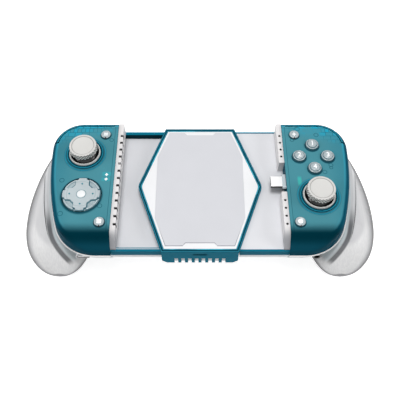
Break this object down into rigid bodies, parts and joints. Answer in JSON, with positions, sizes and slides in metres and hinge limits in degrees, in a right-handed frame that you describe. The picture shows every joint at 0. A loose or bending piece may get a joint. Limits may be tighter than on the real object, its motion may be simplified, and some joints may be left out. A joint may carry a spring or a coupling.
{
  "type": "mobile game controller",
  "caption": "Stretching game controller that grips a phone between two handles, with sticks, direction pad, round buttons, bumpers, triggers, phone plug and sockets.",
  "frame": {"origin": "middle of the bounding box at the level that the backs of the grips rest on", "axes": "+X along the phone towards the right hand, +Y away from the player, +Z out of the face"},
  "size_m": [0.2262, 0.1033, 0.0546],
  "materials": {
    "tinted_shell": "see-through tinted, polished",
    "frame_blue": "satin",
    "pale_shell": "satin, fine texture",
    "panel_grey": "satin",
    "grey_pad": "soft, matt",
    "soft_pad": "soft, satin",
    "gear_white": "moulded, satin",
    "stick_white": "soft touch",
    "stick_dark": "polished",
    "steel": "plated",
    "board": "lacquered",
    "mat": "silicone",
    "clear_key": "clear, polished",
    "holder_blue": "satin"
  },
  "bodies": {
    "bridge": {"bridge_frame": "frame_blue", "bridge_plate": "pale_shell", "bridge_pad": "grey_pad", "bridge_cover": "pale_shell", "pinion_axle": "steel", "spiral_spring": "steel"},
    "pinion": {"pinion": "gear_white"},
    "left_half": {"left_arm_frame": "frame_blue", "left_arm_back": "pale_shell", "left_rack": "gear_white", "left_arm_panel": "panel_grey", "left_back_shell": "pale_shell", "left_front_shell": "tinted_shell", "left_trigger_spring": "steel", "left_stick_case": "steel", "left_stick_ring": "stick_white", "left_board": "board", "left_membrane": "mat", "left_screws": "steel", "left_phone_pad": "soft_pad", "charge_socket": "steel", "indicator_windows": "clear_key"},
    "right_half": {"right_arm_frame": "frame_blue", "right_arm_back": "pale_shell", "right_rack": "gear_white", "right_arm_panel": "panel_grey", "right_back_shell": "pale_shell", "right_front_shell": "tinted_shell", "right_trigger_spring": "steel", "right_stick_case": "steel", "right_stick_ring": "stick_white", "right_board": "board", "right_membrane": "mat", "right_screws": "steel", "right_phone_pad": "soft_pad", "audio_jack": "stick_dark"},
    "left_yoke": {"left_stick_yoke": "stick_dark"},
    "left_stem": {"left_stick_stem": "stick_dark"},
    "left_cap": {"left_stick_cap": "stick_white"},
    "left_bumper": {"left_bumper": "tinted_shell"},
    "left_trigger": {"left_trigger": "pale_shell"},
    "left_upper_button": {"left_upper_button": "clear_key"},
    "left_lower_button": {"left_lower_button": "clear_key"},
    "right_yoke": {"right_stick_yoke": "stick_dark"},
    "right_stem": {"right_stick_stem": "stick_dark"},
    "right_cap": {"right_stick_cap": "stick_white"},
    "right_bumper": {"right_bumper": "tinted_shell"},
    "right_trigger": {"right_trigger": "pale_shell"},
    "right_upper_button": {"right_upper_button": "clear_key"},
    "right_lower_button": {"right_lower_button": "clear_key"},
    "top_action_button": {"top_action_button": "clear_key"},
    "inner_action_button": {"inner_action_button": "clear_key"},
    "outer_action_button": {"outer_action_button": "clear_key"},
    "bottom_action_button": {"bottom_action_button": "clear_key"},
    "dpad_pivot": {"dpad_pivot": "stick_dark"},
    "dpad": {"dpad": "clear_key"},
    "plug": {"plug_holder": "holder_blue", "usb_plug": "steel"}
  },
  "joints": [
    {"name": "left_slide", "type": "slide", "parent": "bridge", "child": "left_half", "axis": [-1, 0, 0], "range_m": [0, 0.04], "stiffness_N_per_m": 150, "springref_m": -0.02},
    {"name": "right_slide", "type": "slide", "parent": "bridge", "child": "right_half", "axis": [1, 0, 0], "range_m": [0, 0.04]},
    {"name": "pinion_spin", "type": "hinge", "parent": "bridge", "child": "pinion", "pos_m": [0, 0, 0.0285], "axis": [0, 0, 1], "range_deg": [0, 328]},
    {"name": "left_stick_up_down", "type": "hinge", "parent": "left_half", "child": "left_yoke", "pos_m": [-0.0737, 0.0191, 0.038], "axis": [1, 0, 0], "range_deg": [-16, 16], "stiffness_Nm_per_rad": 0.03},
    {"name": "left_stick_left_right", "type": "hinge", "parent": "left_yoke", "child": "left_stem", "pos_m": [-0.0737, 0.0191, 0.038], "axis": [0, 1, 0], "range_deg": [-16, 16], "stiffness_Nm_per_rad": 0.03},
    {"name": "left_stick_click", "type": "slide", "parent": "left_stem", "child": "left_cap", "axis": [0, 0, -1], "range_m": [0, 0.0005], "stiffness_N_per_m": 2500, "springref_m": -0.001},
    {"name": "left_bumper_press", "type": "hinge", "parent": "left_half", "child": "left_bumper", "pos_m": [-0.0596, 0.041, 0.0375], "axis": [0, 0, 1], "range_deg": [0, 1], "stiffness_Nm_per_rad": 1, "springref_deg": -1.15},
    {"name": "left_trigger_pull", "type": "hinge", "parent": "left_half", "child": "left_trigger", "pos_m": [-0.0727, 0.04, 0.0275], "axis": [-1, 0, 0], "range_deg": [0, 15], "stiffness_Nm_per_rad": 0.05, "springref_deg": -17.19},
    {"name": "left_upper_button_press", "type": "slide", "parent": "left_half", "child": "left_upper_button", "axis": [0, 0, -1], "range_m": [0, 0.0005], "stiffness_N_per_m": 1500, "springref_m": -0.0005},
    {"name": "left_lower_button_press", "type": "slide", "parent": "left_half", "child": "left_lower_button", "axis": [0, 0, -1], "range_m": [0, 0.0005], "stiffness_N_per_m": 1500, "springref_m": -0.0005},
    {"name": "right_stick_up_down", "type": "hinge", "parent": "right_half", "child": "right_yoke", "pos_m": [0.073, -0.0125, 0.038], "axis": [1, 0, 0], "range_deg": [-16, 16], "stiffness_Nm_per_rad": 0.03},
    {"name": "right_stick_left_right", "type": "hinge", "parent": "right_yoke", "child": "right_stem", "pos_m": [0.073, -0.0125, 0.038], "axis": [0, 1, 0], "range_deg": [-16, 16], "stiffness_Nm_per_rad": 0.03},
    {"name": "right_stick_click", "type": "slide", "parent": "right_stem", "child": "right_cap", "axis": [0, 0, -1], "range_m": [0, 0.0005], "stiffness_N_per_m": 2500, "springref_m": -0.001},
    {"name": "right_bumper_press", "type": "hinge", "parent": "right_half", "child": "right_bumper", "pos_m": [0.0596, 0.041, 0.0375], "axis": [0, 0, -1], "range_deg": [0, 1], "stiffness_Nm_per_rad": 1, "springref_deg": -1.15},
    {"name": "right_trigger_pull", "type": "hinge", "parent": "right_half", "child": "right_trigger", "pos_m": [0.0727, 0.04, 0.0275], "axis": [-1, 0, 0], "range_deg": [0, 15], "stiffness_Nm_per_rad": 0.05, "springref_deg": -17.19},
    {"name": "right_upper_button_press", "type": "slide", "parent": "right_half", "child": "right_upper_button", "axis": [0, 0, -1], "range_m": [0, 0.0005], "stiffness_N_per_m": 1500, "springref_m": -0.0005},
    {"name": "right_lower_button_press", "type": "slide", "parent": "right_half", "child": "right_lower_button", "axis": [0, 0, -1], "range_m": [0, 0.0005], "stiffness_N_per_m": 1500, "springref_m": -0.0005},
    {"name": "top_action_button_press", "type": "slide", "parent": "right_half", "child": "top_action_button", "axis": [0, 0, -1], "range_m": [0, 0.001], "stiffness_N_per_m": 600, "springref_m": -0.0008},
    {"name": "inner_action_button_press", "type": "slide", "parent": "right_half", "child": "inner_action_button", "axis": [0, 0, -1], "range_m": [0, 0.001], "stiffness_N_per_m": 600, "springref_m": -0.0008},
    {"name": "outer_action_button_press", "type": "slide", "parent": "right_half", "child": "outer_action_button", "axis": [0, 0, -1], "range_m": [0, 0.001], "stiffness_N_per_m": 600, "springref_m": -0.0008},
    {"name": "bottom_action_button_press", "type": "slide", "parent": "right_half", "child": "bottom_action_button", "axis": [0, 0, -1], "range_m": [0, 0.001], "stiffness_N_per_m": 600, "springref_m": -0.0008},
    {"name": "dpad_up_down", "type": "hinge", "parent": "left_half", "child": "dpad_pivot", "pos_m": [-0.0729, -0.0116, 0.0435], "axis": [1, 0, 0], "range_deg": [-4, 4], "stiffness_Nm_per_rad": 0.1},
    {"name": "dpad_left_right", "type": "hinge", "parent": "dpad_pivot", "child": "dpad", "pos_m": [-0.0729, -0.0116, 0.0435], "axis": [0, 1, 0], "range_deg": [-4, 4], "stiffness_Nm_per_rad": 0.1},
    {"name": "plug_tip", "type": "hinge", "parent": "right_half", "child": "plug", "pos_m": [0.06, 0.0004, 0.0407], "axis": [0, 1, 0], "range_deg": [-7, 7], "stiffness_Nm_per_rad": 0.05}
  ],
  "couplings": [
    {"joint": "right_slide", "follows": "left_slide", "ratio": 1},
    {"joint": "pinion_spin", "follows": "left_slide", "rad_per_m": 142.86}
  ]
}
